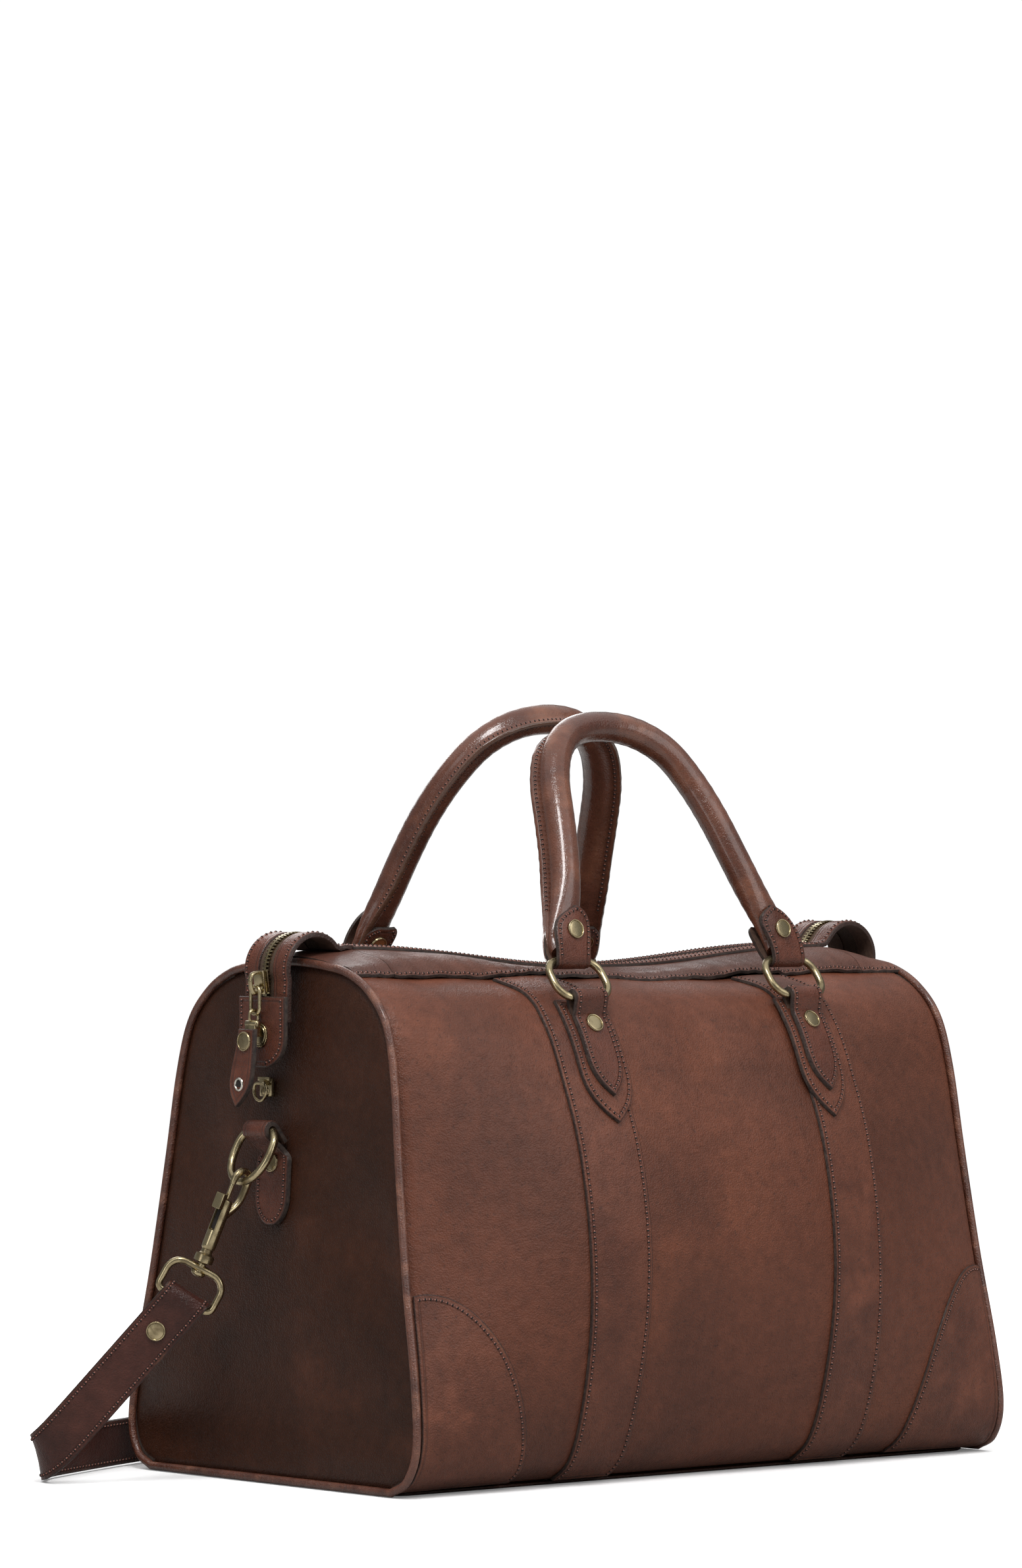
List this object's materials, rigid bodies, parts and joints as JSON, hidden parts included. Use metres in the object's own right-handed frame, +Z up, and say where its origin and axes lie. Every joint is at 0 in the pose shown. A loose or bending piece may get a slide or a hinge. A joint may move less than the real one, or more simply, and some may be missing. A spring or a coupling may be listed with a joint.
{
  "type": "weekender bag",
  "caption": "Soft leather weekender bag with two rolled handles, a zipped top mouth, end rings and a clip-on shoulder strap.",
  "frame": {"origin": "centre of the base panel's flat underside", "axes": "+X along the bag towards the end without the zip slider, +Y towards the back, +Z up"},
  "size_m": [0.7446, 0.3805, 0.4837],
  "materials": {
    "body_leather": "waxed full-grain, warm brown, cloudy",
    "end_leather": "waxed full-grain, dark brown",
    "trim_leather": "polished strap leather with burnished edges",
    "handle_leather": "rolled and polished",
    "antique_brass": "antiqued, brushed",
    "zip_tape": "woven",
    "lining": "plain cotton",
    "board": "pressed board"
  },
  "bodies": {
    "root": {"base_panel": "body_leather", "base_board": "board", "front_panel": "body_leather", "back_panel": "body_leather", "left_end_panel": "end_leather", "right_end_panel": "end_leather", "left_top_panel": "body_leather", "right_top_panel": "body_leather", "lining": "lining", "inner_pocket": "lining", "left_piping": "body_leather", "right_piping": "body_leather", "front_left_band": "body_leather", "front_left_corner_patch": "body_leather", "front_left_chape_backing": "trim_leather", "front_left_chape": "trim_leather", "front_right_band": "body_leather", "front_right_corner_patch": "body_leather", "front_right_chape_backing": "trim_leather", "front_right_chape": "trim_leather", "back_left_band": "body_leather", "back_left_corner_patch": "body_leather", "back_left_chape_backing": "trim_leather", "back_left_chape": "trim_leather", "back_right_band": "body_leather", "back_right_corner_patch": "body_leather", "back_right_chape_backing": "trim_leather", "back_right_chape": "trim_leather", "left_end_chape": "trim_leather", "right_end_chape": "trim_leather", "lock_staple": "antique_brass", "shoulder_strap": "trim_leather"},
    "front_rings": {"front_left_handle_ring": "antique_brass", "front_right_handle_ring": "antique_brass"},
    "front_handle": {"front_handle": "handle_leather"},
    "front_mouth": {"front_mouth_panel": "body_leather", "front_zip_tape": "zip_tape"},
    "back_rings": {"back_left_handle_ring": "antique_brass", "back_right_handle_ring": "antique_brass"},
    "back_handle": {"back_handle": "handle_leather"},
    "back_mouth": {"back_mouth_panel": "body_leather", "back_zip_tape": "zip_tape"},
    "left_tongue": {"left_tongue": "body_leather", "left_tongue_tab": "trim_leather"},
    "right_tongue": {"right_tongue": "body_leather", "right_tongue_tab": "trim_leather"},
    "zip_slider": {"zip_slider": "antique_brass"},
    "zip_link": {"zip_link": "antique_brass"},
    "zip_pull": {"zip_clasp": "antique_brass", "zip_puller": "trim_leather"},
    "lock_ring": {"lock_ring": "antique_brass"},
    "left_end_ring": {"left_end_ring": "antique_brass"},
    "left_swivel_frame": {"left_swivel_frame": "antique_brass"},
    "left_hook": {"left_hook": "antique_brass"},
    "left_trigger": {"left_trigger": "antique_brass"},
    "right_end_ring": {"right_end_ring": "antique_brass"},
    "right_swivel_frame": {"right_swivel_frame": "antique_brass"},
    "right_hook": {"right_hook": "antique_brass"},
    "right_trigger": {"right_trigger": "antique_brass"}
  },
  "joints": [
    {"name": "front_rings_hinge", "type": "hinge", "parent": "root", "child": "front_rings", "pos_m": [0, -0.1197, 0.301], "axis": [1, 0, 0], "range_deg": [-2, 50]},
    {"name": "front_handle_hinge", "type": "hinge", "parent": "front_rings", "child": "front_handle", "pos_m": [0, -0.103, 0.324], "axis": [1, 0, 0], "range_deg": [-2, 70]},
    {"name": "front_mouth_hinge", "type": "hinge", "parent": "root", "child": "front_mouth", "pos_m": [0, -0.0575, 0.3165], "axis": [1, 0, 0], "range_deg": [0, 70]},
    {"name": "back_rings_hinge", "type": "hinge", "parent": "root", "child": "back_rings", "pos_m": [0, 0.1197, 0.301], "axis": [-1, 0, 0], "range_deg": [-2, 50]},
    {"name": "back_handle_hinge", "type": "hinge", "parent": "back_rings", "child": "back_handle", "pos_m": [0, 0.103, 0.324], "axis": [-1, 0, 0], "range_deg": [-2, 70]},
    {"name": "back_mouth_hinge", "type": "hinge", "parent": "root", "child": "back_mouth", "pos_m": [0, 0.0575, 0.3165], "axis": [-1, 0, 0], "range_deg": [0, 70]},
    {"name": "left_tongue_lift", "type": "hinge", "parent": "root", "child": "left_tongue", "pos_m": [-0.2075, 0, 0.334], "axis": [0, 1, 0], "range_deg": [0, 40]},
    {"name": "right_tongue_lift", "type": "hinge", "parent": "root", "child": "right_tongue", "pos_m": [0.2075, 0, 0.334], "axis": [0, -1, 0], "range_deg": [0, 40]},
    {"name": "zip_slide", "type": "hinge", "parent": "left_tongue", "child": "zip_slider", "pos_m": [-0.229, 0, 0.321], "axis": [0, 1, 0], "range_deg": [0, 100]},
    {"name": "zip_link_hinge", "type": "hinge", "parent": "zip_slider", "child": "zip_link", "pos_m": [-0.2606, 0, 0.308], "axis": [0, 1, 0], "range_deg": [0, 90]},
    {"name": "zip_pull_hinge", "type": "hinge", "parent": "zip_link", "child": "zip_pull", "pos_m": [-0.2606, 0, 0.291], "axis": [0, 1, 0], "range_deg": [-5, 20]},
    {"name": "lock_ring_hinge", "type": "hinge", "parent": "root", "child": "lock_ring", "pos_m": [-0.24748, 0, 0.251], "axis": [0, 1, 0], "range_deg": [0, 75]},
    {"name": "left_end_ring_hinge", "type": "hinge", "parent": "root", "child": "left_end_ring", "pos_m": [-0.256, 0, 0.219], "axis": [0, 1, 0], "range_deg": [-1.5, 1.5]},
    {"name": "left_frame_hinge", "type": "hinge", "parent": "root", "child": "left_swivel_frame", "pos_m": [-0.30351, 0.02142, 0.11116], "axis": [-0.6702, 0.5748, 0.4695], "range_deg": [-1, 1]},
    {"name": "left_hook_swivel", "type": "hinge", "parent": "left_swivel_frame", "child": "left_hook", "pos_m": [-0.27853, 0, 0.1894], "axis": [-0.272, 0.2333, -0.9336], "range_deg": [-8, 8]},
    {"name": "left_trigger_slide", "type": "slide", "parent": "left_hook", "child": "left_trigger", "axis": [-0.272, 0.2333, -0.9336], "range_m": [0, 0.007], "stiffness_N_per_m": 300, "springref_m": -0.004},
    {"name": "right_end_ring_hinge", "type": "hinge", "parent": "root", "child": "right_end_ring", "pos_m": [0.256, 0, 0.219], "axis": [0, -1, 0], "range_deg": [-1.5, 1.5]},
    {"name": "right_frame_hinge", "type": "hinge", "parent": "root", "child": "right_swivel_frame", "pos_m": [0.30351, 0.02142, 0.11116], "axis": [0.6702, 0.5748, 0.4695], "range_deg": [-1, 1]},
    {"name": "right_hook_swivel", "type": "hinge", "parent": "right_swivel_frame", "child": "right_hook", "pos_m": [0.27853, 0, 0.1894], "axis": [0.272, 0.2333, -0.9336], "range_deg": [-8, 8]},
    {"name": "right_trigger_slide", "type": "slide", "parent": "right_hook", "child": "right_trigger", "axis": [0.272, 0.2333, -0.9336], "range_m": [0, 0.007], "stiffness_N_per_m": 300, "springref_m": -0.004}
  ]
}
